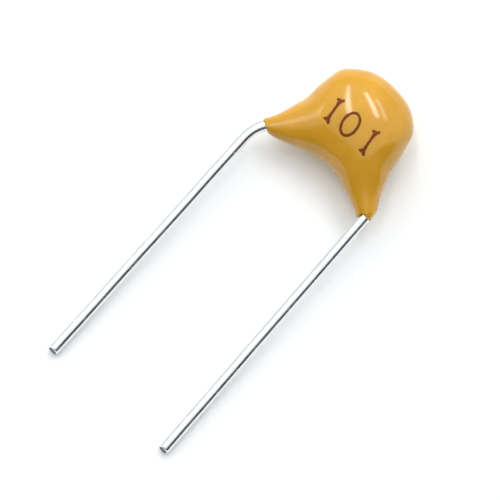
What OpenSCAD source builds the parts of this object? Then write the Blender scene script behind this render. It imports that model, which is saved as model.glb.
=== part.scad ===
// Radial-lead multilayer ceramic capacitor, dipped in epoxy, with leads for a 5.08 mm pitch.
// It lies on its belly and on the tips of its leads. X runs across the leads, +Y points from
// the lead tips to the dome, and +Z is up. The origin is the middle of the footprint.

/* [Coating] */
// Height of the coat from its two exits to the top of the dome
coat_height = 3.95; // [3.7:0.05:4.6]
// Thickness of the coat at the middle of the body
coat_thickness = 2.4; // [2.1:0.05:3.2]
// Radius of the dome, seen from the front
dome_r = 2.05; // [1.85:0.05:2.3]
// Angle above the horizontal at which the dome runs into the flank
shoulder_angle = 37; // [25:1:50]
// Distance over which the flank keeps the dome's direction
shoulder_reach = 0.5; // [0.2:0.05:0.8]
// Distance over which the flank keeps the leg's direction
flank_reach = 0.95; // [0.5:0.05:1.3]
// Height of the saddle between the legs, above the exits
saddle_rise = 0.36; // [0.1:0.02:0.6]
// Half length of the level stretch at the saddle
saddle_reach = 0.7; // [0.4:0.05:1]
// Distance over which the inner side of a leg keeps the leg's direction
crotch_reach = 0.23; // [0.1:0.01:0.5]
// Sideways distance of the body from the middle between the lead tips
coat_shift = 0.2; // [0:0.05:0.3]

/* [Legs of the coat] */
// Distance between the two exits of the coat
exit_spread = 4.56; // [4.3:0.02:4.9]
// Slant of the coated legs, measured from the leads
leg_angle = 47; // [40:1:52]
// Radius of a leg above its drawn-down end
leg_r = 0.38; // [0.35:0.01:0.5]
// Length over which a leg draws down to its lead
draw_length = 0.35; // [0.15:0.05:0.5]
// Coat left around the left lead at its exit
left_exit_cover = 0.05; // [0.03:0.01:0.12]
// Coat left around the right lead at its exit
right_exit_cover = 0.11; // [0.1:0.01:0.14]

/* [Leads] */
// Distance between the lead tips, centre to centre
lead_pitch = 5.08; // [4.7:0.02:5.4]
// Diameter of the tinned wire
lead_d = 0.4; // [0.34:0.01:0.42]
// Length of the right lead, from the exits of the coat to its tip
lead_length = 10.7; // [5:0.1:25]
// How much shorter the left lead is cut
left_cut_short = 0.05; // [0:0.01:0.3]
// Slant of the left lead where it leaves the coat
left_exit_slant = 40; // [30:1:45]
// Radius of the left lead's bend below the coat
left_bend_r = 1.5; // [0.8:0.1:2]
// Slant of the right lead where it leaves the coat
right_exit_slant = 10; // [5:1:20]
// Radius of the right lead's bend, which the coat hides
right_bend_r = 0.4; // [0.3:0.02:0.5]
// Radius of the bend that brings each lead upright beside the chip
inner_bend_r = 0.5; // [0.3:0.05:0.7]
// Length of each lead above the middle of the chip
lead_overlap = 0.45; // [0.3:0.05:0.5]
// How much thinner the wire has drawn where it is bent
bend_thinning = 0.004; // [0.003:0.001:0.01]

/* [Chip] */
// Length of the chip over its terminations
chip_length = 2; // [1.6:0.05:2.2]
// Width of the chip, along the leads
chip_width = 1.25; // [1:0.05:1.4]
// Thickness of the chip
chip_thickness = 1; // [0.85:0.05:1.25]
// Rounding of the chip's long edges
chip_edge_r = 0.1; // [0.05:0.01:0.15]
// Height of the middle of the chip above the exits
chip_rise = 2.15; // [2:0.05:2.3]
// Thickness of the terminations
termination_wall = 0.04; // [0.02:0.005:0.06]
// Length of the band that each termination wraps round the chip
termination_band = 0.4; // [0.25:0.05:0.5]

/* [Electrodes] */
// Number of metal films in the chip
film_count = 10; // [4:1:10]
// Thickness of one metal film
film_thickness = 0.02; // [0.01:0.002:0.024]
// Thickness of one active layer of ceramic, between two films
layer_thickness = 0.06; // [0.03:0.005:0.062]
// Width of the films
film_width = 0.85; // [0.6:0.05:0.9]
// Ceramic left between the end of a film and the far end of the ceramic
film_margin = 0.25; // [0.15:0.05:0.35]

/* [Solder] */
// Thickness of the solder between the termination and the wire, and round the wire
solder_film = 0.04; // [0.02:0.01:0.06]
// Radius of the hollow fillets between the termination and the wire
solder_fillet_r = 0.2; // [0.12:0.01:0.22]
// Length of the solder joint along the wire
solder_length = 1; // [0.9:0.05:1.1]

/* [Hidden] */

// Round faces: sides of the wire, of the chip's edges and of the solder's fillets
round_sides = 48;

// Facets of the coat: steps along an outline, rings from an exit to the middle, points in a ring
outline_steps = 40;
half_rings = 32;
ring_points = 36;
// Rings lie closer together towards the exits by this power
ring_crowding = 1.25;

// A cutter that opens through a face starts this far outside it
past_face = 0.1;

// A bend of the wire starts and ends this far inside the straight stretches beside it
bend_bite = 0.01;

lead_r = lead_d / 2;
half_thickness = coat_thickness / 2;

// Outlines of the right half of the coat, as seen from the front: x outwards from the middle of
// the body, y up from the exits. The leg runs down and outwards to the exit.
leg_down = [sin(leg_angle), -cos(leg_angle)];
leg_outwards = [cos(leg_angle), sin(leg_angle)];
exit_centre = [exit_spread / 2, 0];
outer_exit = exit_centre + leg_r * leg_outwards;
inner_exit = exit_centre - leg_r * leg_outwards;
dome_centre = [0, coat_height - dome_r];
shoulder = dome_centre + polar(dome_r, shoulder_angle);
shoulder_down = [sin(shoulder_angle), -cos(shoulder_angle)];
saddle = [0, saddle_rise];

function polar(r, angle) = r * [cos(angle), sin(angle)];

function bezier(a, b, c, d, t) =
    pow(1 - t, 3) * a + 3 * pow(1 - t, 2) * t * b + 3 * (1 - t) * t * t * c + pow(t, 3) * d;

// From the exit up the flank, then round the dome to its top
outer_outline = concat(
    [for (i = [0 : outline_steps - 1])
        bezier(outer_exit, outer_exit - flank_reach * leg_down,
               shoulder + shoulder_reach * shoulder_down, shoulder, i / outline_steps)],
    [for (i = [0 : outline_steps])
        dome_centre + polar(dome_r, shoulder_angle + (90 - shoulder_angle) * i / outline_steps)]);

// From the exit up the inner side of the leg to the middle of the saddle
inner_outline =
    [for (i = [0 : outline_steps])
        bezier(inner_exit, inner_exit - crotch_reach * leg_down,
               saddle + [saddle_reach, 0], saddle, i / outline_steps)];

// An outline as two tables, of x and of y against the length run, and its whole length
function run_lengths(path) =
    [for (i = 0, run = 0; i < len(path);
          run = run + (i + 1 < len(path) ? norm(path[i + 1] - path[i]) : 0), i = i + 1) run];
function measured(path) =
    let (runs = run_lengths(path), last = len(path) - 1)
    [[for (i = [0 : last]) [runs[i], path[i].x]], [for (i = [0 : last]) [runs[i], path[i].y]],
     runs[last]];
function at_run(outline, run) = [lookup(run, outline[0]), lookup(run, outline[1])];

outer = measured(outer_outline);
inner = measured(inner_outline);

// A section of the coat joins a point of the outer outline to one of the inner. Where v is 0
// it lies square across the exit, and where v is 1 it is the middle of the body.
run_ratio = inner[2] / outer[2];
function outer_at(v) = at_run(outer, outer[2] * (run_ratio * v + (1 - run_ratio) * v * v));
function inner_at(v) = at_run(inner, inner[2] * v);
function section_centre(v) = (outer_at(v) + inner_at(v)) / 2;
function section_arm(v) = (outer_at(v) - inner_at(v)) / 2;

// A leg is round, and the coat flattens as its sections grow towards the middle
half_height = (coat_height - saddle_rise) / 2;
flattening = ln(half_thickness / leg_r) / ln(half_height / leg_r);
function section_thickness(v) = leg_r * pow(norm(section_arm(v)) / leg_r, flattening);

// The end of a leg draws down to its lead on a quarter of an ellipse
function draw_down(run, exit_r) =
    let (left = max(0, 1 - run / draw_length))
    sqrt(1 - (1 - pow(exit_r / leg_r, 2)) * left * left);

function section(v, exit_r, side) =
    let (centre = section_centre(v), arm = section_arm(v), half = section_thickness(v),
         drawn = draw_down(norm(centre - exit_centre), exit_r))
    [for (i = [0 : ring_points - 1])
        let (angle = 360 * i / ring_points, p = centre + drawn * cos(angle) * arm)
        [side * p.x, p.y, drawn * half * sin(angle)]];

function ring_place(i) = pow(i / half_rings, ring_crowding);

// Leads, seen as above and from the middle of the body outwards. Up from its tip a lead is
// straight, then turns onto the leg's slant, and turns upright again beside the chip.
lead_x = chip_length / 2 + solder_film + lead_r;
left_tip = [lead_pitch / 2 + coat_shift, left_cut_short - lead_length];
right_tip = [lead_pitch / 2 - coat_shift, -lead_length];

function bend_centre(exit_slant, bend_r) = exit_centre - polar(bend_r, exit_slant);
// Lean of the straight part, which ends at the tip and just touches the bend
function lean(tip, centre, bend_r) =
    let (to_centre = centre - tip)
    atan2(-to_centre.x, to_centre.y) - asin(bend_r / norm(to_centre));
function straight_length(tip, centre, bend_r) =
    sqrt(pow(norm(centre - tip), 2) - bend_r * bend_r);
// The slanted line meets the upright one at a corner, which the inner bend rounds
inner_tangent = inner_bend_r * tan(leg_angle / 2);
function slant_length(bend_end) = (bend_end.x - lead_x) / sin(leg_angle);
function corner_y(bend_end) = bend_end.y + slant_length(bend_end) * cos(leg_angle);
lead_top = chip_rise + lead_overlap;

// Chip: the ceramic is smaller than the chip by the terminations' walls
ceramic_length = chip_length - 2 * termination_wall;
ceramic_width = chip_width - 2 * termination_wall;
ceramic_thickness = chip_thickness - 2 * termination_wall;
ceramic_edge_r = chip_edge_r - termination_wall / 2;
film_pitch = layer_thickness + film_thickness;
stack_thickness = film_count * film_pitch - layer_thickness;

// Solder: the fillets touch a circle halfway through the film round the wire
wire_offset = solder_film + lead_r;
fillet_x = solder_film + solder_fillet_r;
fillet_z = sqrt(pow(solder_fillet_r + lead_r + solder_film / 2, 2)
                - pow(fillet_x - wire_offset, 2));

// Lying: the floor is a line from the lower edge of the longer lead's tip that just touches the
// belly, an ellipse as high as the middle section and as thick as the coat
belly_y = (coat_height + saddle_rise) / 2;
belly_to_tip = lead_length + belly_y;
tilt_a = pow(belly_to_tip, 2) - pow(half_height, 2);
tilt_b = lead_r * belly_to_tip;
tilt_c = pow(half_thickness, 2) - pow(lead_r, 2);
lying_tilt = atan((sqrt(tilt_b * tilt_b + tilt_a * tilt_c) - tilt_b) / tilt_a);
lying_lift = lead_length * sin(lying_tilt) + lead_r * cos(lying_tilt);
dome_reach = belly_y * cos(lying_tilt)
    + norm([half_height * cos(lying_tilt), half_thickness * sin(lying_tilt)]);
tip_reach = lead_length * cos(lying_tilt) + lead_r * sin(lying_tilt);
lying_shift = (tip_reach - dome_reach) / 2;

// Puts the flat-drawn part onto its belly and its lead tips
module lying()
    translate([0, lying_shift, lying_lift])
        rotate([lying_tilt, 0, 0])
            children();

// Puts what belongs to the body at its sideways distance from the leads' middle
module in_body() translate([coat_shift, 0, 0]) children();

module left_side() mirror([1, 0, 0]) children();

// The coat as one loft from the right exit over the dome to the left exit
module coat_form() {
    right_exit_r = lead_r + right_exit_cover;
    left_exit_r = lead_r + left_exit_cover;
    rings = concat(
        [for (i = [0 : half_rings]) section(ring_place(i), right_exit_r, 1)],
        [for (i = [half_rings - 1 : -1 : 0]) section(ring_place(i), left_exit_r, -1)]);
    last = len(rings) - 1;
    function at(ring, i) = ring * ring_points + i % ring_points;
    polyhedron(
        points = [for (ring = rings, p = ring) p],
        faces = concat(
            [[for (i = [ring_points - 1 : -1 : 0]) at(0, i)]],
            [for (ring = [0 : last - 1], i = [0 : ring_points - 1])
                [at(ring, i), at(ring, i + 1), at(ring + 1, i)]],
            [for (ring = [0 : last - 1], i = [0 : ring_points - 1])
                [at(ring, i + 1), at(ring + 1, i + 1), at(ring + 1, i)]],
            [[for (i = [0 : ring_points - 1]) at(last, i)]]));
}

// A straight stretch of wire along +Y; what follows starts at its end
module wire_run(length) {
    rotate([-90, 0, 0]) cylinder(d = lead_d, h = length, $fn = round_sides);
    translate([0, length, 0]) children();
}

// A bend of the wire that starts along +Y and turns left, or right if the angle is negative;
// what follows starts at its end. It is the part of a ring between two planes, each just inside
// the straight stretch beside it, which closes round the thinner bend.
module wire_bend(bend_r, angle) {
    turn = sign(angle);
    ring_side = 2 * (bend_r + lead_d);
    intersection() {
        translate([-turn * bend_r, 0, 0])
            rotate_extrude($fn = 4 * round_sides)
                translate([bend_r, 0]) circle(d = lead_d - bend_thinning, $fn = round_sides);
        translate([-ring_side / 2 - turn * bend_r, -bend_bite, -lead_d])
            cube([ring_side, ring_side, 2 * lead_d]);
        bend_end(bend_r, angle)
            translate([-ring_side / 2 - turn * bend_r, bend_bite - ring_side, -lead_d])
                cube([ring_side, ring_side, 2 * lead_d]);
    }
    bend_end(bend_r, angle) children();
}

module bend_end(bend_r, angle)
    translate([-sign(angle) * bend_r, 0, 0])
        rotate(angle)
            translate([sign(angle) * bend_r, 0, 0])
                children();

// A lead from its tip to its top end beside the chip
module lead_wire(tip, exit_slant, bend_r) {
    centre = bend_centre(exit_slant, bend_r);
    leaning = lean(tip, centre, bend_r);
    bend_end = centre + polar(bend_r, leg_angle);
    translate([tip.x, tip.y, 0])
        rotate(leaning)
            wire_run(straight_length(tip, centre, bend_r))
            wire_bend(bend_r, leg_angle - leaning)
            wire_run(slant_length(bend_end) - inner_tangent)
            wire_bend(inner_bend_r, -leg_angle)
            wire_run(lead_top - corner_y(bend_end) - inner_tangent);
}

module right_lead_wire() lead_wire(right_tip, right_exit_slant, right_bend_r);
module left_lead_wire() left_side() lead_wire(left_tip, left_exit_slant, left_bend_r);

// A bar along X with rounded long edges, from x1 to x2
module rounded_bar(x1, x2, width, thickness, edge_r) {
    edge_y = width / 2 - edge_r;
    edge_z = thickness / 2 - edge_r;
    translate([x1, chip_rise, 0])
        rotate([90, 0, 90])
            linear_extrude(x2 - x1) {
                square([width, thickness - 2 * edge_r], center = true);
                square([width - 2 * edge_r, thickness], center = true);
                for (y = [-edge_y, edge_y], z = [-edge_z, edge_z])
                    translate([y, z]) circle(edge_r, $fn = round_sides);
            }
}

module ceramic_bar()
    rounded_bar(-ceramic_length / 2, ceramic_length / 2, ceramic_width, ceramic_thickness,
                ceramic_edge_r);

// The chip's outer form over the band at its right end
module right_cap()
    rounded_bar(chip_length / 2 - termination_band, chip_length / 2, chip_width,
                chip_thickness, chip_edge_r);

module termination()
    difference() {
        right_cap();
        ceramic_bar();
    }

// Every second film, from the first or second on, out to the left end of the ceramic; as a
// cutter the films run past that end
module films(first, past) {
    film_length = ceramic_length - film_margin + past;
    for (i = [first : 2 : film_count - 1])
        translate([-ceramic_length / 2 - past, chip_rise - film_width / 2,
                   i * film_pitch - stack_thickness / 2])
            cube([film_length, film_width, film_thickness]);
}
module left_films(past = 0) films(0, past);
module right_films(past = 0) left_side() films(1, past);

// Solder on the right: a film on the termination, two hollow fillets and a film round the wire.
// Its root is how far it starts inside the termination's face.
module solder_form(root)
    translate([chip_length / 2, chip_rise, 0])
        rotate([90, 0, 0])
            linear_extrude(solder_length, center = true) {
                difference() {
                    translate([-root, -fillet_z]) square([wire_offset + root, 2 * fillet_z]);
                    for (z = [-fillet_z, fillet_z])
                        translate([fillet_x, z]) circle(solder_fillet_r, $fn = round_sides);
                }
                translate([wire_offset, 0]) circle(lead_r + solder_film, $fn = round_sides);
            }

// What the coat closes round, as one form
module core() {
    root = termination_wall / 2;
    ceramic_bar();
    right_cap();
    left_side() right_cap();
    solder_form(root);
    left_side() solder_form(root);
    right_lead_wire();
    left_lead_wire();
}

module coating()
    color([0.84, 0.6, 0.2])
        lying() in_body()
            difference() {
                coat_form();
                core();
            }

module ceramic_chip()
    color([0.87, 0.84, 0.76])
        lying() in_body()
            difference() {
                ceramic_bar();
                left_films(past_face);
                right_films(past_face);
            }

module left_electrodes() color([0.62, 0.62, 0.6]) lying() in_body() left_films();
module right_electrodes() color([0.5, 0.5, 0.48]) lying() in_body() right_films();

module right_termination() color([0.75, 0.74, 0.7]) lying() in_body() termination();
module left_termination() color([0.75, 0.74, 0.7]) lying() in_body() left_side() termination();

module right_solder()
    color([0.66, 0.67, 0.68])
        lying() in_body()
            difference() {
                solder_form(0);
                right_lead_wire();
            }

module left_solder()
    color([0.66, 0.67, 0.68])
        lying() in_body()
            difference() {
                left_side() solder_form(0);
                left_lead_wire();
            }

module right_lead() color([0.82, 0.83, 0.84]) lying() in_body() right_lead_wire();
module left_lead() color([0.82, 0.83, 0.84]) lying() in_body() left_lead_wire();

coating();
ceramic_chip();
left_electrodes();
right_electrodes();
left_termination();
right_termination();
left_solder();
right_solder();
left_lead();
right_lead();
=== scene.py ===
"""A dipped radial-lead multilayer ceramic capacitor, dressed for rendering around its CAD frame.

Sizes are in millimetres in the drawing of the part, where x runs across the leads from the middle
of the body, y runs up from the coat's exits to the dome and z is the thickness. placed() turns
them into the metres of the row frame, in which the part lies on its belly and its lead tips.
"""

import math

import bmesh
import bpy
import numpy as np
from mathutils import Matrix, Vector, noise
from mathutils.bvhtree import BVHTree
from mathutils.geometry import delaunay_2d_cdt


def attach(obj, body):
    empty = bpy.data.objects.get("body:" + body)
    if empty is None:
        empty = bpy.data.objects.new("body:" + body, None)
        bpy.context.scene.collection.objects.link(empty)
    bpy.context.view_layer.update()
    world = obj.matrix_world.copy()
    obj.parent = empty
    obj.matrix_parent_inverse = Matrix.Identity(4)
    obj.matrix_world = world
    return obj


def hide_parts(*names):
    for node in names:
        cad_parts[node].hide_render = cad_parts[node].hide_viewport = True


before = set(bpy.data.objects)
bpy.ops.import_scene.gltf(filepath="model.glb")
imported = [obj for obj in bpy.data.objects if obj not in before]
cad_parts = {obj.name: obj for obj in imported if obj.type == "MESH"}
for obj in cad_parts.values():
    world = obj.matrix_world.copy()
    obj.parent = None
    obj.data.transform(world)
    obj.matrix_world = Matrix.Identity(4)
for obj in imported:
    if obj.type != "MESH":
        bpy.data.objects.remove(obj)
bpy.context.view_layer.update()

MM = 0.001

# The coat, as in the part's own drawing
COAT_HEIGHT = 3.95
COAT_THICKNESS = 2.4
DOME_R = 2.05
SHOULDER_ANGLE = 37
SHOULDER_REACH = 0.5
FLANK_REACH = 0.95
SADDLE_RISE = 0.36
SADDLE_REACH = 0.7
CROTCH_REACH = 0.23
COAT_SHIFT = 0.2
EXIT_SPREAD = 4.56
LEG_ANGLE = 47
LEG_R = 0.38
LEFT_DRAW_LENGTH = 0.7
RIGHT_DRAW_LENGTH = 0.35

# The leads
LEAD_PITCH = 5.08
LEAD_R = 0.2
LEAD_LENGTH = 10.7
LEFT_CUT_SHORT = 0.05
LEFT_EXIT_SLANT = 40
LEFT_BEND_R = 1.5
RIGHT_EXIT_SLANT = 10
RIGHT_BEND_R = 0.4
INNER_BEND_R = 0.5
LEAD_OVERLAP = 0.45
CHIP_LENGTH = 2
CHIP_RISE = 2.15
SOLDER_FILM = 0.04

# Fineness of the meshes
OUTLINE_STEPS = 240
HALF_RINGS = 150
RING_POINTS = 128
RING_CROWDING = 1.25
WIRE_SIDES = 64
WIRE_STEP = 0.06
WIRE_BEND_STEP = 3

# Fine relief of the coat: how high it is, how wide its lumps are or how many there are in a
# millimetre, how far it reaches, and where in the endless noise it is taken from
COAT_SWELL = 0.010
COAT_SWELL_SIZE = 1.3
COAT_SWELL_SEED = (11, 5, 2)
COAT_RIPPLE = 0.0016
COAT_RIPPLE_SIZE = 0.38
COAT_RIPPLE_SEED = (1, 8, 4)
CALM_REACH = 1.2
HEM_RAGGEDNESS = 0.03
HEM_REACH = 0.3
HEM_LUMPS = 6
HEM_SEED = (3, 7, 1)
FILM_LUMPS = 9
FILM_SEED = (1, 2, 8)

# How the leads stray from true: the left one at its bend, before and after the exit, and both
# along their straight part, where it fades in from the tip and out towards the bend
LEFT_EXIT_STRAY = 0.07
EXIT_STRAY_REACH = (1.1, 0.6)
WIRE_WAVE = 0.012
WIRE_WAVE_SIZE = 2.2
WIRE_WAVE_FADE_IN = 1.5
WIRE_WAVE_FADE_OUT = 2.5
WIRE_WAVE_SEED = 3
WIRE_WAVE_SHIFTS = (0.5, 9.5)

# The sheared tips: the rings of the flat face as shares of the radius, the angles of those on the
# rolled edge, the runs of those behind it, and how many rows of faces are bare metal, coloured dark
# as painted shade
CUT_SLANT = 20
CUT_EDGE_R = 0.065
CUT_ROUGHNESS = 0.01
CUT_LUMPS = 14
CUT_FACE_SHARES = (0.35, 0.65)
CUT_EDGE_ANGLES = (90, 70, 50, 30, 10, 0)
CUT_SIDE_RUNS = (0.06, 0.1, 0.15, 0.2, 0.25)
CUT_FACE_ROWS = 3
CUT_SLOT = 1
TIP_REACH = 0.3

# The angles between faces above which an edge is sharp
COAT_CREASE = 40
WIRE_CREASE = 35
INK_CREASE = 40

# The hems, by the angle round the leg from its outer side: how far the skin's rim lies beyond the
# exit, how far it lies from the leg's axis, and how far the film runs on along the lead
RIGHT_HEM = [(0, -0.08, 0.345, 0.17), (73, 0, 0.33, 0.13), (127, 0, 0.33, 0.1),
             (165, 0.06, 0.36, 0.17), (180, 0.087, 0.37, 0.24)]
LEFT_HEM = [(0, 0.04, 0.3, 0.1), (90, 0, 0.25, 0.05), (180, -0.05, 0.212, 0)]

# The film on the lead: its rings, the length of its lip, and how far its edge and the cavity's rim
# go into the lead
HEM_STEPS = 6
HEM_LIP = 0.4
HEM_SINK = 0.004
RIM_SINK = 0.02

# Where the real coat's outline leaves its arcs: a place, how far round it, and which way it moves
TRIMS = [
    ((0, 3.95), 0.75, (0, -0.07)),
    ((0.45, 3.85), 0.4, (0, -0.015)),
    ((-1.57, 3.22), 0.35, (-0.022, 0.018)),
    ((-1.8, 2.9), 0.3, (0.014, -0.006)),
    ((-1.93, 1.67), 0.35, (0.055, 0)),
    ((1.88, 1.58), 0.3, (-0.05, 0)),
    ((1.65, 2.65), 0.4, (-0.025, -0.015)),
    ((0.6, 0.5), 0.5, (0, 0.06)),
    ((-0.4, 0.4), 0.35, (0, 0.02)),
]

# How close points are that are one, and down to what depth the CAD coat's points are its outside
WELD_REACH = 1e-5
SKIN_DEPTH = 0.03

# The value code, printed on the upper face: where its digits are, how they are turned, their form,
# and how often and how far from their ends the sides of a 1 are cut to round its corners
FIRST_ONE = (-0.82, 1.865)
ZERO = (-0.08, 1.865)
SECOND_ONE = (0.8, 1.83)
DIGIT_TURN = 5.5
DIGIT_HEIGHT = 0.94
ZERO_WIDTH = 0.64
STROKE = 0.1
ONE_NECK = 0.24
ONE_RIGHT_LOBE = [(0.01, 0.445), (0.06, 0.505), (0.12, 0.505), (0.14, 0.43), (0.075, 0.35)]
ONE_LEFT_LOBE = [(-0.075, 0.335), (-0.145, 0.355), (-0.15, 0.42), (-0.085, 0.45)]
CORNER_CUTS = 3
CORNER_SHARE = 0.25
ZERO_OUTER_POINTS = 96
ZERO_INNER_POINTS = 72

# The ink: how high it stands, what share of that at its edge, how deep it goes into the coat, how
# rough its edge is, and the grid of triangles inside it, which keeps clear of the edge
INK_HEIGHT = 0.007
INK_EDGE_SHARE = 0.3
INK_EDGE_REACH = 0.02
INK_ROOT = 0.004
INK_ROUGH_EDGE = 0.012
INK_LUMPS = 9
INK_LUMPS_ROUND = 2.5
INK_GRID = 0.035
INK_ROW = 0.866
INK_CLEAR = 0.5
ONLY_INSIDE = 1
POINT_REACH = 1e-6

# The camera: where it stands, where the middle between the exits shows in the picture, and between
# what distances it sees, in metres
CAMERA_AZIMUTH = 41.4
CAMERA_ELEVATION = 82
CAMERA_DISTANCE = 150
PICTURE_SIDE = 500
PIXELS_PER_MM = 29.3
EXITS_MIDDLE_PIXEL = (317.0, 170.5)
SENSOR_WIDTH = 36
NEAREST_SEEN = 0.001
FARTHEST_SEEN = 20

# The table: its colour as it is and as the camera sees it, and its side in metres
FLOOR_COLOUR = (0.9, 0.94, 0.985)
FLOOR_SEEN = (0.955, 0.985, 1.0)
FLOOR_SIDE = 4

# The room: its level, its bright sides (a direction, the reach round it, how much brighter), and
# its dark low side (a direction, the reach round it, and between which heights, each with its soft
# edge, and what it leaves of the light)
ROOM = 0.34
BRIGHT = [((-0.65, 0.6, 0.38), (0.3, 0.85), 1.38), ((0.38, -0.28, 0.85), (0.7, 0.95), 0.7)]
DARK_SIDE = ((0.3, -0.95, 0), (0.2, 0.6), (-1, -0.9), (0.5, 0.3), 0.15)

# The flags beside the table that only mirrors show, black on one side and grey on the other
FLAGS = [
    ((0.66, -0.75, 0), (0.26, 0.5), (-0.25, -0.12), (0.86, 0.72), 0.03),
    ((-0.68, 0.73, 0), (0.3, 0.7), (-0.3, -0.2), (0.45, 0.3), 0.5),
]

# The ceiling's height in metres, and its lamps: how far each hangs to the picture's right and up,
# its length and its width, in ceiling heights, and its brightness
CEILING = 0.5
LAMPS = [
    ("left_tube", -0.15, 0.82, 1.4, 0.08, 11.5),
    ("middle_tube", 0.38, 0.66, 0.85, 0.13, 11.0),
    ("right_tube", 0.68, 0.6, 0.7, 0.14, 4.5),
    ("left_panel", -1.3, 0.4, 0.6, 0.7, 2.3),
]

# The pieces inside the coat: which wear each material, its darker and its lighter colour, the
# width of its grain, the depth of its relief, whether it is metal, and its roughness
INNER_MATERIALS = [
    (["ceramic_chip"],
     "dielectric_ceramic", (0.42, 0.33, 0.22), (0.52, 0.42, 0.29), 0.02, 0.001, 0, (0.5, 0.7)),
    (["left_electrodes", "right_electrodes"],
     "electrode_film", (0.33, 0.32, 0.3), (0.42, 0.41, 0.39), 0.01, 0.0005, 1, (0.35, 0.5)),
    (["left_termination", "right_termination"],
     "termination_metal", (0.62, 0.6, 0.56), (0.74, 0.72, 0.68), 0.015, 0.001, 1, (0.35, 0.5)),
    (["left_solder", "right_solder"],
     "solder", (0.6, 0.6, 0.6), (0.76, 0.76, 0.75), 0.08, 0.002, 1, (0.22, 0.36)),
]


def direction(azimuth, elevation):
    a = math.radians(azimuth)
    e = math.radians(elevation)
    return Vector((math.sin(a) * math.cos(e), -math.cos(a) * math.cos(e), math.sin(e)))


def polar(r, angle):
    a = math.radians(angle)
    return np.array([r * math.cos(a), r * math.sin(a)])


# How the part lies: its tilt from the line that runs under the lead tips and touches the belly
HALF_HEIGHT = (COAT_HEIGHT - SADDLE_RISE) / 2
HALF_THICKNESS = COAT_THICKNESS / 2
BELLY_Y = (COAT_HEIGHT + SADDLE_RISE) / 2
BELLY_TO_TIP = LEAD_LENGTH + BELLY_Y


def lying_tilt():
    a = BELLY_TO_TIP**2 - HALF_HEIGHT**2
    b = LEAD_R * BELLY_TO_TIP
    c = HALF_THICKNESS**2 - LEAD_R**2
    return math.atan((math.sqrt(b * b + a * c) - b) / a)


def lying():
    """The drawing's place in the row frame, in millimetres."""
    tilt = lying_tilt()
    lift = LEAD_LENGTH * math.sin(tilt) + LEAD_R * math.cos(tilt)
    dome_reach = BELLY_Y * math.cos(tilt) + math.hypot(
        HALF_HEIGHT * math.cos(tilt), HALF_THICKNESS * math.sin(tilt))
    tip_reach = LEAD_LENGTH * math.cos(tilt) + LEAD_R * math.sin(tilt)
    shift = (tip_reach - dome_reach) / 2
    return (Matrix.Translation((0, shift, lift))
            @ Matrix.Rotation(tilt, 4, "X")
            @ Matrix.Translation((COAT_SHIFT, 0, 0)))


LYING = Matrix.Scale(MM, 4) @ lying()
UPRIGHT = LYING.inverted()


def placed(point):
    return LYING @ Vector(point)


# ---------------------------------------------------------------- the coat's form

LEG_DOWN = np.array([math.sin(math.radians(LEG_ANGLE)), -math.cos(math.radians(LEG_ANGLE))])
EXIT_CENTRE = np.array([EXIT_SPREAD / 2, 0])
SADDLE = np.array([0, SADDLE_RISE])


def bezier(a, b, c, d, t):
    return (1 - t)**3 * a + 3 * (1 - t)**2 * t * b + 3 * (1 - t) * t**2 * c + t**3 * d


def outer_outline():
    """From the exit up the flank, then round the dome to its top."""
    start = EXIT_CENTRE + polar(LEG_R, LEG_ANGLE)
    dome_centre = np.array([0, COAT_HEIGHT - DOME_R])
    shoulder = dome_centre + polar(DOME_R, SHOULDER_ANGLE)
    shoulder_down = polar(1, SHOULDER_ANGLE - 90)
    t = np.linspace(0, 1, OUTLINE_STEPS, endpoint=False)[:, None]
    flank = bezier(start, start - FLANK_REACH * LEG_DOWN,
                   shoulder + SHOULDER_REACH * shoulder_down, shoulder, t)
    angles = np.radians(np.linspace(SHOULDER_ANGLE, 90, OUTLINE_STEPS))
    dome = dome_centre + DOME_R * np.column_stack([np.cos(angles), np.sin(angles)])
    return np.concatenate([flank, dome])


def inner_outline():
    """From the exit up the inner side of the leg to the middle of the saddle."""
    start = EXIT_CENTRE - polar(LEG_R, LEG_ANGLE)
    t = np.linspace(0, 1, OUTLINE_STEPS)[:, None]
    return bezier(start, start - CROTCH_REACH * LEG_DOWN,
                  SADDLE + np.array([SADDLE_REACH, 0]), SADDLE, t)


def measured(points):
    """An outline with the length run to each of its points."""
    steps = np.linalg.norm(np.diff(points, axis=0), axis=1)
    return np.concatenate([[0], np.cumsum(steps)]), points


def at_run(outline, run):
    runs, points = outline
    return np.array([np.interp(run, runs, points[:, 0]), np.interp(run, runs, points[:, 1])])


OUTER = measured(outer_outline())
INNER = measured(inner_outline())
OUTER_LENGTH = OUTER[0][-1]
INNER_LENGTH = INNER[0][-1]
RUN_RATIO = INNER_LENGTH / OUTER_LENGTH
FLATTENING = math.log(HALF_THICKNESS / LEG_R) / math.log(HALF_HEIGHT / LEG_R)


def round_the_hem(side):
    """The hem's figures at each point of a ring, eased from one given angle to the next."""
    degrees = np.arange(RING_POINTS) * 360 / RING_POINTS
    folded = np.minimum(degrees, 360 - degrees)
    table = np.array(RIGHT_HEM if side > 0 else LEFT_HEM)
    place = np.interp(folded, table[:, 0], np.arange(len(table)))
    low = np.minimum(place.astype(int), len(table) - 2)
    t = place - low
    t = (t * t * (3 - 2 * t))[:, None]
    return ((1 - t) * table[low, 1:] + t * table[low + 1, 1:]).T


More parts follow.
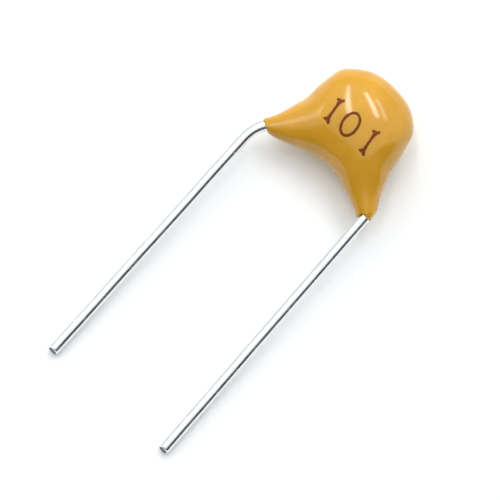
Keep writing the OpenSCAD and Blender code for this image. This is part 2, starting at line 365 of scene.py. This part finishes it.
def section(v, side):
    """One ring of the coat: v is 0 at an exit and 1 at the middle of the body."""
    outer = at_run(OUTER, OUTER_LENGTH * (RUN_RATIO * v + (1 - RUN_RATIO) * v * v))
    inner = at_run(INNER, INNER_LENGTH * v)
    centre = (outer + inner) / 2
    arm = (outer - inner) / 2
    half = LEG_R * (np.linalg.norm(arm) / LEG_R)**FLATTENING
    run = np.linalg.norm(centre - EXIT_CENTRE)
    beyond, rim_r, _ = round_the_hem(side)
    left = max(0, 1 - run / (RIGHT_DRAW_LENGTH if side > 0 else LEFT_DRAW_LENGTH))
    drawn = np.sqrt(1 - (1 - (rim_r / LEG_R)**2) * left * left)
    turn = np.radians(np.arange(RING_POINTS) * 360 / RING_POINTS)
    ring = centre + (drawn * np.cos(turn))[:, None] * arm
    points = np.column_stack([side * ring[:, 0], ring[:, 1], drawn * half * np.sin(turn)])
    return trimmed(points + hem_offset(points, beyond, run, side))


def hem_offset(points, beyond, run, side):
    """The uneven lower hem of the coat: each place round it runs a little up or down the leg."""
    fade = max(0, 1 - run / HEM_REACH)**2
    along = np.array([side * LEG_DOWN[0], LEG_DOWN[1], 0])
    ragged = lumps(points, HEM_LUMPS, HEM_SEED)
    return fade * np.outer(beyond + HEM_RAGGEDNESS * ragged, along)


def lumps(points, count, seed):
    """Noise at each of the points, with about that count of lumps in a millimetre."""
    return np.array([noise.noise(Vector(p) * count + Vector(seed)) for p in points])


def trimmed(points):
    """Moves points of the skin a little in the drawing's plane, to the real outline."""
    moved = points.copy()
    for place, reach, move in TRIMS:
        away = np.linalg.norm(points[:, :2] - place, axis=1)
        moved[:, :2] += np.exp(-(away / reach)**2)[:, None] * move
    return moved


def film_edge(side):
    """The heading of a lead where it leaves the coat, and the ring at which the film on it ends."""
    slant = math.radians(RIGHT_EXIT_SLANT if side > 0 else LEFT_EXIT_SLANT)
    down = np.array([side * math.sin(slant), -math.cos(slant), 0])
    out = np.array([side * math.cos(slant), math.sin(slant), 0])
    stray = 0 if side > 0 else LEFT_EXIT_STRAY
    turn = np.radians(np.arange(RING_POINTS) * 360 / RING_POINTS)
    around = np.outer(np.cos(turn), out) + np.outer(np.sin(turn), (0, 0, 1))
    exit_centre = np.array([side * EXIT_CENTRE[0], EXIT_CENTRE[1], 0]) + stray * out
    film = round_the_hem(side)[2]
    film = film + HEM_RAGGEDNESS * lumps(around * LEAD_R, FILM_LUMPS, FILM_SEED)
    return down, exit_centre + np.outer(film, down) + (LEAD_R - HEM_SINK) * around


def hem_rings(rim, side):
    """The film, from the skin's rim over a low lip onto the lead and just into it."""
    down, edge = film_edge(side)
    along = np.outer((edge - rim) @ down, down)
    lip = rim + HEM_LIP * along + (1 - HEM_LIP) / 2 * (edge - rim)
    rings = []
    for t in np.arange(1, HEM_STEPS + 1) / HEM_STEPS:
        rings.append((1 - t)**2 * rim + 2 * t * (1 - t) * lip + t * t * edge)
    return rings


def coat_rings():
    """The rings of the whole skin, from the right film's edge over the body to the left one's."""
    places = (np.arange(HALF_RINGS + 1) / HALF_RINGS)**RING_CROWDING
    right = [section(v, 1) for v in places]
    left = [section(v, -1) for v in places[-2::-1]]
    return hem_rings(right[0], 1)[::-1] + right + left + hem_rings(left[-1], -1)


def swell(point, normal):
    """The low, soft unevenness of a dipped coat, which fades out towards its two exits."""
    from_exit = min((point - Vector((side * EXIT_SPREAD / 2, 0, 0))).length for side in (-1, 1))
    fade = min(1, from_exit / CALM_REACH)**2
    height = COAT_SWELL * noise.noise(point / COAT_SWELL_SIZE + Vector(COAT_SWELL_SEED))
    height += COAT_RIPPLE * noise.noise(point / COAT_RIPPLE_SIZE + Vector(COAT_RIPPLE_SEED))
    return point + fade * height * normal


def joined_rings(bm, rings):
    """Adds rings of points to bm, joined by quads, and returns the first and last ring."""
    rows = [[bm.verts.new(p) for p in ring] for ring in rings]
    for low, high in zip(rows, rows[1:]):
        for i in range(len(low)):
            j = (i + 1) % len(low)
            bm.faces.new((low[i], low[j], high[j], high[i]))
    return rows[0], rows[-1]


def link(name, bm, materials):
    """Makes bm, in the drawing's millimetres, into a smooth piece of the part."""
    bmesh.ops.recalc_face_normals(bm, faces=bm.faces)
    bmesh.ops.transform(bm, matrix=LYING, verts=bm.verts)
    mesh = bpy.data.meshes.new(name)
    bm.to_mesh(mesh)
    bm.free()
    mesh.polygons.foreach_set("use_smooth", [True] * len(mesh.polygons))
    piece = bpy.data.objects.new(name, mesh)
    bpy.context.scene.collection.objects.link(piece)
    for material in materials:
        mesh.materials.append(material)
    return piece


# ---------------------------------------------------------------- shader nodes

def node_material(name):
    material = bpy.data.materials.new(name)
    material.use_nodes = True
    material.node_tree.nodes.clear()
    return material, material.node_tree


def add(tree, kind, inputs=None, **settings):
    node = tree.nodes.new(kind)
    for key, value in settings.items():
        setattr(node, key, value)
    for key, value in (inputs or {}).items():
        if isinstance(value, bpy.types.NodeSocket):
            tree.links.new(value, node.inputs[key])
        else:
            node.inputs[key].default_value = value
    return node


def millimetres(tree, scale=(1, 1, 1)):
    """Object coordinates in millimetres, stretched by scale."""
    place = add(tree, "ShaderNodeTexCoord")
    mapping = add(tree, "ShaderNodeMapping",
                  {"Vector": place.outputs["Object"], "Scale": [s / MM for s in scale]})
    return mapping.outputs["Vector"]


def noise_of(tree, place, size, detail=3, roughness=0.5):
    """Noise whose lumps are about size millimetres wide."""
    return add(tree, "ShaderNodeTexNoise", {
        "Vector": place, "Scale": 1 / size, "Detail": detail, "Roughness": roughness,
    }).outputs["Fac"]


def ramp(tree, value, stops):
    """A colour for each value: stops are (place, colour)."""
    node = add(tree, "ShaderNodeValToRGB", {"Fac": value})
    elements = node.color_ramp.elements
    while len(elements) < len(stops):
        elements.new(0.5)
    for element, (position, colour) in zip(elements, stops):
        element.position = position
        element.color = (*colour, 1)
    return node.outputs["Color"]


def scaled(tree, value, low, high):
    """A value from 0 to 1 as one from low to high."""
    return add(tree, "ShaderNodeMapRange",
               {"Value": value, "To Min": low, "To Max": high}).outputs["Result"]


def bump(tree, height, depth, normal=None):
    """Relief of depth millimetres."""
    inputs = {"Height": height, "Distance": depth * MM, "Strength": 1}
    if normal is not None:
        inputs["Normal"] = normal
    return add(tree, "ShaderNodeBump", inputs).outputs["Normal"]


def product(tree, values):
    """All the values, which may be sockets or numbers, multiplied together."""
    result = values[0]
    for value in values[1:]:
        result = add(tree, "ShaderNodeMath", {0: result, 1: value}, operation="MULTIPLY").outputs[0]
    return result


def blend(tree, share, one, other):
    """One colour, with a share of another in it."""
    return add(tree, "ShaderNodeMix", {"Factor": share, "A": one, "B": other},
               data_type="RGBA").outputs["Result"]


def finish_material(tree, inputs):
    """Gives the material a shader with these inputs."""
    shader = add(tree, "ShaderNodeBsdfPrincipled", inputs)
    add(tree, "ShaderNodeOutputMaterial", {"Surface": shader.outputs["BSDF"]})


def epoxy():
    """Pigmented, glossy dip epoxy: ochre, cloudy on a large scale, with fine filler specks."""
    material, tree = node_material("epoxy_coat")
    place = millimetres(tree)
    clouds = noise_of(tree, place, 0.9, detail=4)
    body = ramp(tree, clouds, [
        (0.3, (0.62, 0.32, 0.018)), (0.5, (0.65, 0.34, 0.026)), (0.7, (0.70, 0.37, 0.03))])
    specks = noise_of(tree, place, 0.018, detail=2)
    speck_share = ramp(tree, specks, [(0.66, (0, 0, 0)), (0.74, (1, 1, 1))])
    speck_strength = 0.12
    colour = blend(tree, product(tree, [speck_share, speck_strength]), body, (0.32, 0.13, 0.01, 1))
    peel = bump(tree, noise_of(tree, place, 0.16, detail=2), 0.0012)
    finish_material(tree, {
        "Base Color": colour,
        "Roughness": scaled(tree, noise_of(tree, place, 0.5), 0.10, 0.2),
        "IOR": 1.45,
        "Coat Weight": 0.22,
        "Coat Roughness": 0.03,
        "Subsurface Weight": 0.4,
        "Subsurface Radius": (1, 0.4, 0.1),
        "Subsurface Scale": 0.5 * MM,
        "Normal": peel,
    })
    return material


def tinned_wire():
    """Bright tin with faint lines along the wire, where it was drawn, and soft dull patches."""
    material, tree = node_material("tinned_wire")
    streaks = noise_of(tree, millimetres(tree, (1, 0.02, 1)), 0.03)
    patches = noise_of(tree, millimetres(tree), 0.55, detail=5, roughness=0.6)
    colour = ramp(tree, patches, [
        (0.3, (0.85, 0.855, 0.865)), (0.55, (0.91, 0.91, 0.915)), (0.8, (0.96, 0.96, 0.96))])
    lines = bump(tree, streaks, 0.0005)
    relief = bump(tree, noise_of(tree, millimetres(tree, (1, 0.4, 1)), 0.12), 0.0007, lines)
    finish_material(tree, {
        "Base Color": colour,
        "Metallic": 1,
        "Roughness": scaled(tree, patches, 0.17, 0.34),
        "Normal": relief,
    })
    return material


def cut_metal_painted_shade():
    """The sheared end of a lead, dull and scored across, in a dark colour that is painted shade on
    the end face.
    """
    material, tree = node_material("cut_metal_painted_shade")
    scores = noise_of(tree, millimetres(tree, (1, 1, 0.15)), 0.02)
    finish_material(tree, {
        # The end face's dark colour is painted shade, darker than the bare metal is; only its
        # variation follows the scoring
        "Base Color": ramp(tree, scores, [(0.3, (0.12, 0.115, 0.11)), (0.7, (0.26, 0.25, 0.24))]),
        "Metallic": 1,
        "Roughness": scaled(tree, scores, 0.4, 0.65),
        "Normal": bump(tree, scores, 0.003),
    })
    return material


def marking_ink():
    """Maroon-brown ink, thinner and a little lighter in places."""
    material, tree = node_material("marking_ink")
    place = millimetres(tree)
    density = noise_of(tree, place, 0.09, detail=4, roughness=0.6)
    finish_material(tree, {
        "Base Color": ramp(tree, density, [
            (0.3, (0.16, 0.03, 0.004)), (0.55, (0.2, 0.042, 0.006)), (0.8, (0.26, 0.065, 0.01))]),
        "Roughness": scaled(tree, density, 0.45, 0.6),
        "Specular IOR Level": 0.2,
        "Normal": bump(tree, noise_of(tree, place, 0.03), 0.001),
    })
    return material


def grainy(name, low, high, grain, relief, metallic, roughness):
    """A fired or cast surface whose colour, gloss and relief follow one grain."""
    material, tree = node_material(name)
    grains = noise_of(tree, millimetres(tree), grain, detail=5, roughness=0.6)
    finish_material(tree, {
        "Base Color": ramp(tree, grains, [(0.3, low), (0.7, high)]),
        "Metallic": metallic,
        "Roughness": scaled(tree, grains, *roughness),
        "Normal": bump(tree, grains, relief),
    })
    return material


# ---------------------------------------------------------------- pieces

def add_cavity(bm, outer):
    """Adds the CAD coat's inner faces, those round the core, to bm."""
    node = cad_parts["coating"]
    inner = bmesh.new()
    inner.from_mesh(node.data)
    bmesh.ops.transform(inner, matrix=UPRIGHT @ node.matrix_world, verts=inner.verts)
    bmesh.ops.remove_doubles(inner, verts=inner.verts, dist=WELD_REACH)
    skin = [v for v in inner.verts if depth_under(outer, v.co) < SKIN_DEPTH]
    bmesh.ops.delete(inner, geom=skin, context="VERTS")
    copies = {v: bm.verts.new(v.co) for v in inner.verts}
    sink_rims(inner, copies)
    for face in inner.faces:
        bm.faces.new([copies[v] for v in face.verts])
    inner.free()


def depth_under(outer, point):
    """How deep a point lies under the skin; it is negative outside."""
    place, normal, _, _ = outer.find_nearest(point)
    return (place - point).dot(normal)


def sink_rims(inner, copies):
    """Draws the copies of the cavity's two open rims slightly into the leads."""
    for side in (1, -1):
        rim = [v for v in inner.verts if v.is_boundary and v.co.x * side > 0]
        middle = sum((v.co for v in rim), Vector()) / len(rim)
        for vert in rim:
            copies[vert].co += (middle - vert.co).normalized() * RIM_SINK


def coat():
    """The dipped coat: a fine outer skin, the CAD coat's own cavity, and faces between the two.

    Those faces lie inside the leads, unseen. They aren't clean: some of their edges, most of them
    on the left, meet one or three faces, and the cavity's faces point away from the core.
    """
    plain = bmesh.new()
    joined_rings(plain, coat_rings())
    bmesh.ops.recalc_face_normals(plain, faces=plain.faces)
    plain.normal_update()
    outer = BVHTree.FromBMesh(plain)
    for vert, place in [(v, swell(v.co, v.normal)) for v in plain.verts]:
        vert.co = place
    add_cavity(plain, outer)
    rims = [e for e in plain.edges if e.is_boundary]
    for side in (1, -1):
        edges = [e for e in rims if e.verts[0].co.x * side > 0]
        bmesh.ops.triangle_fill(plain, use_beauty=True, edges=edges)
    piece = link("dipped_coat", plain, [epoxy()])
    sharpen(piece, COAT_CREASE)
    return piece


def sharpen(piece, angle):
    """Keeps the edges sharp at which the faces turn by more than angle."""
    bm = bmesh.new()
    bm.from_mesh(piece.data)
    for edge in bm.edges:
        edge.smooth = edge.calc_face_angle(0) < math.radians(angle)
    bm.to_mesh(piece.data)
    bm.free()


def wire_route(tip_x, tip_y, exit_slant, bend_r):
    """Points and headings of a lead's axis from its tip to its top, and its straight part's length.

    It is straight, turns onto the leg's slant, and turns upright again beside the chip.
    """
    tip = np.array([tip_x, tip_y])
    centre = EXIT_CENTRE - polar(bend_r, exit_slant)
    to_centre = centre - tip
    reach = np.linalg.norm(to_centre)
    lean = math.degrees(math.atan2(-to_centre[0], to_centre[1]) - math.asin(bend_r / reach))
    straight = math.sqrt(reach**2 - bend_r**2)
    bend_end = centre + polar(bend_r, LEG_ANGLE)
    lead_x = CHIP_LENGTH / 2 + SOLDER_FILM + LEAD_R
    slant = (bend_end[0] - lead_x) / math.sin(math.radians(LEG_ANGLE))
    corner_y = bend_end[1] + slant * math.cos(math.radians(LEG_ANGLE))
    tangent = INNER_BEND_R * math.tan(math.radians(LEG_ANGLE / 2))
    top = CHIP_RISE + LEAD_OVERLAP
    steps = [(straight, 0), (bend_r, LEG_ANGLE - lean), (slant - tangent, 0),
             (INNER_BEND_R, -LEG_ANGLE), (top - corner_y - tangent, 0)]
    place = tip
    heading = 90 + lean
    route = [(place, heading)]
    for size, turn in steps:
        place, heading, stretch = wire_stretch(place, heading, size, turn)
        route += stretch
    return route, straight


def wire_stretch(place, heading, size, turn):
    """A straight run of that size, or a bend of that radius; the end and the points up to it."""
    if not turn:
        count = math.ceil(size / WIRE_STEP)
        ahead = polar(1, heading)
        stretch = [(place + ahead * size * i / count, heading) for i in range(1, count + 1)]
    else:
        count = math.ceil(abs(turn) / WIRE_BEND_STEP)
        side = math.copysign(90, turn)
        middle = place + polar(size, heading + side)
        turns = [turn * i / count for i in range(1, count + 1)]
        stretch = [(middle - polar(size, heading + side + t), heading + t) for t in turns]
    return stretch[-1][0], stretch[-1][1], stretch


def exit_stray(place, heading, exit_slant, stray):
    """How far a lead lies outwards of true near the coat's exit."""
    reach = EXIT_STRAY_REACH[0] if heading < 90 + exit_slant else EXIT_STRAY_REACH[1]
    t = max(0, 1 - np.linalg.norm(place - EXIT_CENTRE) / reach)
    return stray * t * t * (3 - 2 * t)


def wave(run, straight, seed):
    """How far a lead strays sideways and upwards from true, from handling."""
    fade = min(1, run / WIRE_WAVE_FADE_IN, max(0, straight - run) / WIRE_WAVE_FADE_OUT)
    at = run / WIRE_WAVE_SIZE
    return [WIRE_WAVE * fade * noise.noise(Vector((at, seed, shift))) for shift in WIRE_WAVE_SHIFTS]


def lead_rings(side, tip, exit_slant, bend_r, stray):
    """The rings of a lead's skin, from its sheared tip to its top."""
    route, straight = wire_route(*tip, exit_slant, bend_r)
    rings = tip_rings(route[0], side)
    run = 0
    last = route[0][0]
    for place, heading in route[1:]:
        run += np.linalg.norm(place - last)
        last = place
        if run > TIP_REACH:
            aside, above = wave(run, straight, side + WIRE_WAVE_SEED)
            aside += exit_stray(place, heading, exit_slant, stray)
            rings.append(wire_ring(place, heading, side, LEAD_R, (aside, above)))
    return rings


def wire(name, side, tip, exit_slant, bend_r, stray, materials):
    """A tinned lead with a sheared tip, swept along its axis."""
    bm = bmesh.new()
    low, high = joined_rings(bm, lead_rings(side, tip, exit_slant, bend_r, stray))
    bm.faces.new(high)
    centre = bm.verts.new(sum((v.co for v in low), Vector()) / len(low))
    for a, b in zip(low, low[1:] + low[:1]):
        bm.faces.new((a, b, centre))
    bm.faces.ensure_lookup_table()
    for face in bm.faces[:WIRE_SIDES * CUT_FACE_ROWS] + bm.faces[-WIRE_SIDES:]:
        face.material_index = CUT_SLOT
    piece = link(name, bm, materials)
    sharpen(piece, WIRE_CREASE)
    return piece


def wire_ring(place, heading, side, radius, stray=(0, 0)):
    """A ring round a lead's axis, strayed sideways and upwards from it."""
    sideways = polar(1, heading - 90)
    centre = place + stray[0] * sideways
    ring = []
    for i in range(WIRE_SIDES):
        a = 2 * math.pi * i / WIRE_SIDES
        flat = centre + radius * math.cos(a) * sideways
        ring.append(Vector((side * flat[0], flat[1], stray[1] + radius * math.sin(a))))
    return ring


def tip_rings(start, side):
    """The sheared end: a dull, flat face that slants back at the top, and a rolled edge."""
    place, heading = start
    ahead = polar(1, heading)
    profile = [(LEAD_R * share, 0) for share in CUT_FACE_SHARES]
    for t in CUT_EDGE_ANGLES:
        a = math.radians(t)
        profile.append((LEAD_R - CUT_EDGE_R * (1 - math.cos(a)), CUT_EDGE_R * (1 - math.sin(a))))
    profile += [(LEAD_R, run) for run in CUT_SIDE_RUNS]
    rings = []
    for radius, run in profile:
        ring = wire_ring(place + ahead * run, heading, side, radius)
        fade = 1 - run / TIP_REACH
        for point in ring:
            back = fade * (math.tan(math.radians(CUT_SLANT)) * (LEAD_R + point.z)
                           + CUT_ROUGHNESS * lumps([point], CUT_LUMPS, (side, 4, 2))[0])
            point.x += side * ahead[0] * back
            point.y += ahead[1] * back
        rings.append(ring)
    return rings


# ---------------------------------------------------------------- the value code

def ellipse(width, height, count, seed):
    """An oval of count points, slightly rough."""
    points = []
    for i in range(count):
        a = 2 * math.pi * i / count
        rough = 1 + INK_ROUGH_EDGE / width * 2 * noise.noise(
            Vector((math.cos(a) * INK_LUMPS_ROUND, math.sin(a) * INK_LUMPS_ROUND, seed)))
        points.append((rough * width / 2 * math.cos(a), rough * height / 2 * math.sin(a)))
    return points


def zero_outline():
    """The outer and inner edges of the digit 0, which is an oval ring."""
    outer = ellipse(ZERO_WIDTH, DIGIT_HEIGHT, ZERO_OUTER_POINTS, seed=1)
    inner = ellipse(
        ZERO_WIDTH - 2 * STROKE, DIGIT_HEIGHT - 2 * STROKE, ZERO_INNER_POINTS, seed=4)
    return [outer, inner]


def one_outline(seed):
    """The edge of the digit 1: a thin stem with two small lobes at either end."""
    right = ONE_RIGHT_LOBE + [(STROKE / 2, ONE_NECK)]
    left = [(-STROKE / 2, ONE_NECK)] + ONE_LEFT_LOBE
    lower_right = [(x, -y) for x, y in reversed(right)]
    lower_left = [(x, -y) for x, y in reversed(left)]
    return [soft_outline(right + lower_right + lower_left + left, seed)]


def soft_outline(corners, seed):
    """Rounds a polygon by cutting its corners a few times, then roughens it slightly."""
    points = corners
    near = 1 - CORNER_SHARE
    far = CORNER_SHARE
    for _ in range(CORNER_CUTS):
        cut = []
        for (ax, ay), (bx, by) in zip(points, points[1:] + points[:1]):
            cut.append((ax * near + bx * far, ay * near + by * far))
            cut.append((ax * far + bx * near, ay * far + by * near))
        points = cut
    rough = []
    for x, y in points:
        at = Vector((x * INK_LUMPS, y * INK_LUMPS, seed))
        rough.append((x + INK_ROUGH_EDGE * noise.noise(at),
                      y + INK_ROUGH_EDGE * noise.noise(at + Vector((5, 5, 5)))))
    return rough


def grid_clear_of(edge_points):
    """The points of an even grid of triangles over a digit that aren't too near its edges."""
    spots = []
    count = math.ceil(DIGIT_HEIGHT / INK_GRID)
    for i in range(-count, count + 1):
        for j in range(-count, count + 1):
            spot = Vector((INK_GRID * (i + 0.5 * (j % 2)), INK_GRID * j * INK_ROW))
            if min((spot - p).length for p in edge_points) > INK_GRID * INK_CLEAR:
                spots.append(spot)
    return spots


def filled(outlines):
    """Triangles between the first outline and the others, fine enough to follow the coat."""
    points = []
    edges = []
    for outline in outlines:
        first = len(points)
        points += [Vector(p) for p in outline]
        edges += [(first + i, first + (i + 1) % len(outline)) for i in range(len(outline))]
    edge_points = list(points)
    points += grid_clear_of(edge_points)
    verts, _, faces, _, _, _ = delaunay_2d_cdt(points, edges, [], ONLY_INSIDE, POINT_REACH)
    inked = []
    for face in faces:
        middle = sum((verts[i] for i in face), Vector((0, 0))) / len(face)
        if is_within(middle, outlines[0]) and not any(is_within(middle, h) for h in outlines[1:]):
            inked.append(face)
    return verts, inked, edge_points


def is_within(point, outline):
    """Whether a point lies inside a polygon, by the sides to its right or left."""
    crossings = 0
    for (ax, ay), (bx, by) in zip(outline, outline[1:] + outline[:1]):
        if (ay > point.y) != (by > point.y):
            crossings += point.x < ax + (point.y - ay) / (by - ay) * (bx - ax)
    return crossings % 2 == 1


def digit(bm, outlines, middle, coat_tree):
    """Adds one printed digit to bm as a closed film that follows the coat."""
    verts, faces, edge_points = filled(outlines)
    across = polar(1, DIGIT_TURN)
    along = polar(1, 90 + DIGIT_TURN)
    top = {}
    root = {}
    for i in sorted({i for face in faces for i in face}):
        vert = verts[i]
        x, y = middle + vert.x * across + vert.y * along
        hit, normal, _, _ = coat_tree.ray_cast(Vector((x, y, COAT_THICKNESS)), Vector((0, 0, -1)))
        to_edge = min((vert - p).length for p in edge_points)
        share = INK_EDGE_SHARE + (1 - INK_EDGE_SHARE) * min(1, to_edge / INK_EDGE_REACH)
        top[i] = bm.verts.new(hit + normal * (INK_HEIGHT * share))
        root[i] = bm.verts.new(hit - normal * INK_ROOT)
    close_film(bm, faces, top, root)


def close_film(bm, faces, top, root):
    """Adds the faces on top of a film and at its root, and those round its rim."""
    rim = set()
    for face in faces:
        bm.faces.new([top[i] for i in face])
        bm.faces.new([root[i] for i in reversed(face)])
        for i, j in zip(face, face[1:] + face[:1]):
            if (j, i) in rim:
                rim.remove((j, i))
            else:
                rim.add((i, j))
    for i, j in sorted(rim):
        bm.faces.new((top[j], top[i], root[i], root[j]))


def value_code(coat_piece):
    """The digits 101, which is how a capacitor of 100 pF is marked."""
    skin = bmesh.new()
    skin.from_mesh(coat_piece.data)
    bmesh.ops.transform(skin, matrix=UPRIGHT, verts=skin.verts)
    coat_tree = BVHTree.FromBMesh(skin)
    skin.free()
    bm = bmesh.new()
    digit(bm, one_outline(seed=2), FIRST_ONE, coat_tree)
    digit(bm, zero_outline(), ZERO, coat_tree)
    digit(bm, one_outline(seed=7), SECOND_ONE, coat_tree)
    piece = link("value_code", bm, [marking_ink()])
    sharpen(piece, INK_CREASE)
    return piece


# ---------------------------------------------------------------- the scene round the part

def floor():
    """A plain pale table top."""
    material, tree = node_material("table_top")
    colour = blend(tree, seen_ray(tree), (*FLOOR_COLOUR, 1), (*FLOOR_SEEN, 1))
    finish_material(tree, {"Base Color": colour, "Roughness": 0.9, "Specular IOR Level": 0.1})
    bm = bmesh.new()
    half = FLOOR_SIDE / 2
    corners = [(-half, -half), (half, -half), (half, half), (-half, half)]
    bm.faces.new([bm.verts.new((x, y, 0)) for x, y in corners])
    mesh = bpy.data.meshes.new("table_top")
    bm.to_mesh(mesh)
    bm.free()
    mesh.materials.append(material)
    top = bpy.data.objects.new("table_top", mesh)
    bpy.context.scene.collection.objects.link(top)


def seen_ray(tree):
    """1 for rays by which the camera sees a thing, straight, mirrored or through glass."""
    rays = add(tree, "ShaderNodeLightPath").outputs
    seen = rays["Is Camera Ray"]
    for kind in ("Is Glossy Ray", "Is Transmission Ray"):
        seen = add(tree, "ShaderNodeMath", {0: seen, 1: rays[kind]}, operation="MAXIMUM").outputs[0]
    return seen


def surroundings():
    """A pale room, bright on one side and dark low on another; plain where it is seen."""
    world = bpy.data.worlds.new("studio")
    bpy.context.scene.world = world
    world.use_nodes = True
    tree = world.node_tree
    tree.nodes.clear()
    way = add(tree, "ShaderNodeTexCoord").outputs["Generated"]
    light = ROOM
    for side, reach, brighter in BRIGHT:
        more = eased(tree, towards(tree, way, side), reach, 0, brighter)
        light = add(tree, "ShaderNodeMath", {0: light, 1: more}).outputs[0]
    light = product(tree, [light, unshaded(tree, way, 1, *DARK_SIDE)])
    mirrored = add(tree, "ShaderNodeLightPath").outputs["Is Glossy Ray"]
    unflagged = product(tree, [unshaded(tree, way, mirrored, *flag) for flag in FLAGS])
    room = add(tree, "ShaderNodeBackground", {"Strength": light})
    plain = add(tree, "ShaderNodeBackground", {
        "Color": (*FLOOR_SEEN, 1), "Strength": unflagged})
    mix = add(tree, "ShaderNodeMixShader", {
        0: seen_ray(tree), 1: room.outputs[0], 2: plain.outputs[0]})
    add(tree, "ShaderNodeOutputWorld", {"Surface": mix.outputs[0]})


def unshaded(tree, way, share, side, reach, foot, top, left):
    """What a soft-edged dark patch, near a side and between two heights, leaves of the light."""
    height = add(tree, "ShaderNodeSeparateXYZ", {0: way}).outputs["Z"]
    level = add(tree, "ShaderNodeVectorMath", {0: way, 1: (1, 1, 0)}, operation="MULTIPLY")
    round_way = add(tree, "ShaderNodeVectorMath", {0: level.outputs[0]}, operation="NORMALIZE")
    patch = product(tree, [
        share,
        eased(tree, towards(tree, round_way.outputs[0], side), reach, 0, 1),
        eased(tree, height, foot, 0, 1),
        eased(tree, height, top, 0, 1)])
    return eased(tree, patch, (0, 1), 1, left)


def towards(tree, way, side):
    """How nearly a way points to a side: 1 if it does, 0 if it is square to it."""
    return add(tree, "ShaderNodeVectorMath", {0: way, 1: side},
               operation="DOT_PRODUCT").outputs["Value"]


def eased(tree, value, reach, outside, inside):
    """A value that turns smoothly from outside to inside as value goes through reach."""
    return add(tree, "ShaderNodeMapRange", {
        "Value": value, "From Min": reach[0], "From Max": reach[1],
        "To Min": outside, "To Max": inside}, interpolation_type="SMOOTHSTEP").outputs["Result"]


def lamp(name, aside, above, length, width, brightness):
    """A tube or panel on the ceiling, which runs up the picture and shines straight down."""
    data = bpy.data.lights.new(name, "AREA")
    data.shape = "RECTANGLE"
    data.size = length * CEILING
    data.size_y = width * CEILING
    data.energy = brightness * math.pi * data.size * data.size_y
    right = direction(CAMERA_AZIMUTH + 90, 0)
    ahead = -direction(CAMERA_AZIMUTH, 0)
    light = bpy.data.objects.new(name, data)
    axes = Matrix((ahead, -right, (0, 0, 1))).transposed().to_4x4()
    place = CEILING * (aside * right + above * ahead + Vector((0, 0, 1)))
    light.matrix_world = Matrix.Translation(place) @ axes
    light.visible_camera = False
    bpy.context.scene.collection.objects.link(light)


def camera():
    """Stands where the photograph was taken from, with the exits' middle at its place in it."""
    data = bpy.data.cameras.new("camera")
    data.sensor_width = SENSOR_WIDTH
    data.lens = SENSOR_WIDTH * PIXELS_PER_MM * CAMERA_DISTANCE / PICTURE_SIDE
    data.clip_start = NEAREST_SEEN
    data.clip_end = FARTHEST_SEEN
    stand = bpy.data.objects.new("camera", data)
    back = direction(CAMERA_AZIMUTH, CAMERA_ELEVATION)
    right = direction(CAMERA_AZIMUTH + 90, 0)
    up = back.cross(right)
    aside = (EXITS_MIDDLE_PIXEL[0] - PICTURE_SIDE / 2) / PIXELS_PER_MM * MM
    above = (PICTURE_SIDE / 2 - EXITS_MIDDLE_PIXEL[1]) / PIXELS_PER_MM * MM
    aim = placed((0, 0, 0)) - aside * right - above * up
    place = Matrix((right, up, back)).transposed().to_4x4()
    stand.matrix_world = Matrix.Translation(aim + CAMERA_DISTANCE * MM * back) @ place
    bpy.context.scene.collection.objects.link(stand)
    bpy.context.scene.camera = stand


def stand_for(piece, node):
    """Puts a piece on the one body, in place of a CAD node if it stands for one."""
    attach(piece, "root")
    if node:
        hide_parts(node)


def dress(nodes, material):
    """Gives CAD nodes, which keep their shape, their material."""
    for name in nodes:
        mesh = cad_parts[name].data
        mesh.materials.clear()
        mesh.materials.append(material)


bpy.context.scene.view_settings.view_transform = "Standard"
camera()
floor()
surroundings()
for lamp_place in LAMPS:
    lamp(*lamp_place)

dipped_coat = coat()
stand_for(dipped_coat, "coating")
wire_materials = [tinned_wire(), cut_metal_painted_shade()]
left_tip = (LEAD_PITCH / 2 + COAT_SHIFT, LEFT_CUT_SHORT - LEAD_LENGTH)
right_tip = (LEAD_PITCH / 2 - COAT_SHIFT, -LEAD_LENGTH)
left_wire = wire("left_wire", -1, left_tip, LEFT_EXIT_SLANT, LEFT_BEND_R, LEFT_EXIT_STRAY,
                 wire_materials)
stand_for(left_wire, "left_lead")
right_wire = wire("right_wire", 1, right_tip, RIGHT_EXIT_SLANT, RIGHT_BEND_R, 0,
                  wire_materials)
stand_for(right_wire, "right_lead")
stand_for(value_code(dipped_coat), None)

for dressed_nodes, *recipe in INNER_MATERIALS:
    dress(dressed_nodes, grainy(*recipe))

bpy.context.view_layer.update()
